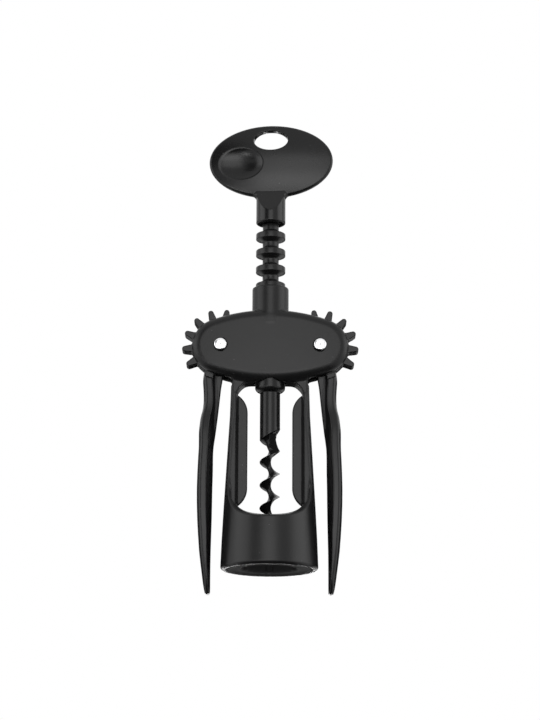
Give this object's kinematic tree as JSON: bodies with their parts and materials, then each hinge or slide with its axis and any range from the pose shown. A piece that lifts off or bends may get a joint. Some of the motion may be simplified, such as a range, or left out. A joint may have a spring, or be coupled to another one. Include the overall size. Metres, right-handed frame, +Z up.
{
  "type": "wing corkscrew",
  "caption": "Wing corkscrew: a bell with a bottle guide, an oval key on a ringed rack over a screw worm, and two geared levers with ridged paddles.",
  "frame": {"origin": "centre of the bell's mouth, in the plane of its lip, where a bottle's neck enters", "axes": "+Z up the worm's axis towards the key, X across from the left lever to the right one, front towards -Y"},
  "size_m": [0.0704, 0.0384, 0.1928],
  "materials": {
    "frame_lacquer": "satin black lacquer with a fine grain on die-cast zinc",
    "guide_plastic": "black moulded plastic",
    "rack_lacquer": "satin black lacquer",
    "key_lacquer": "satin black lacquer",
    "worm_coating": "black non-stick coating, a little glossier than the frame",
    "lever_lacquer": "satin black lacquer, smoother than the frame",
    "pin_steel": "bright plated steel"
  },
  "bodies": {
    "frame": {"bell_frame": "frame_lacquer", "bottle_guide": "guide_plastic", "pivot_pin_left": "pin_steel", "pivot_pin_right": "pin_steel"},
    "rack": {"rack_sleeve": "rack_lacquer"},
    "key": {"key_handle": "key_lacquer", "worm_spindle": "worm_coating"},
    "lever_left": {"lever_left": "lever_lacquer"},
    "lever_right": {"lever_right": "lever_lacquer"}
  },
  "joints": [
    {"name": "rack_slide", "type": "slide", "parent": "frame", "child": "rack", "axis": [0, 0, -1], "range_m": [0, 0.035]},
    {"name": "key_turn", "type": "hinge", "parent": "rack", "child": "key", "pos_m": [0, 0, 0.1411], "axis": [0, 0, 1], "continuous": true},
    {"name": "lever_left_swing", "type": "hinge", "parent": "frame", "child": "lever_left", "pos_m": [-0.01982, 0, 0.0892], "axis": [0, 1, 0], "range_deg": [-1, 130]},
    {"name": "lever_right_swing", "type": "hinge", "parent": "frame", "child": "lever_right", "pos_m": [0.01982, 0, 0.0892], "axis": [0, -1, 0], "range_deg": [-1, 130]}
  ],
  "couplings": [
    {"joint": "lever_left_swing", "follows": "rack_slide", "rad_per_m": 64.114},
    {"joint": "lever_right_swing", "follows": "rack_slide", "rad_per_m": 64.114}
  ]
}
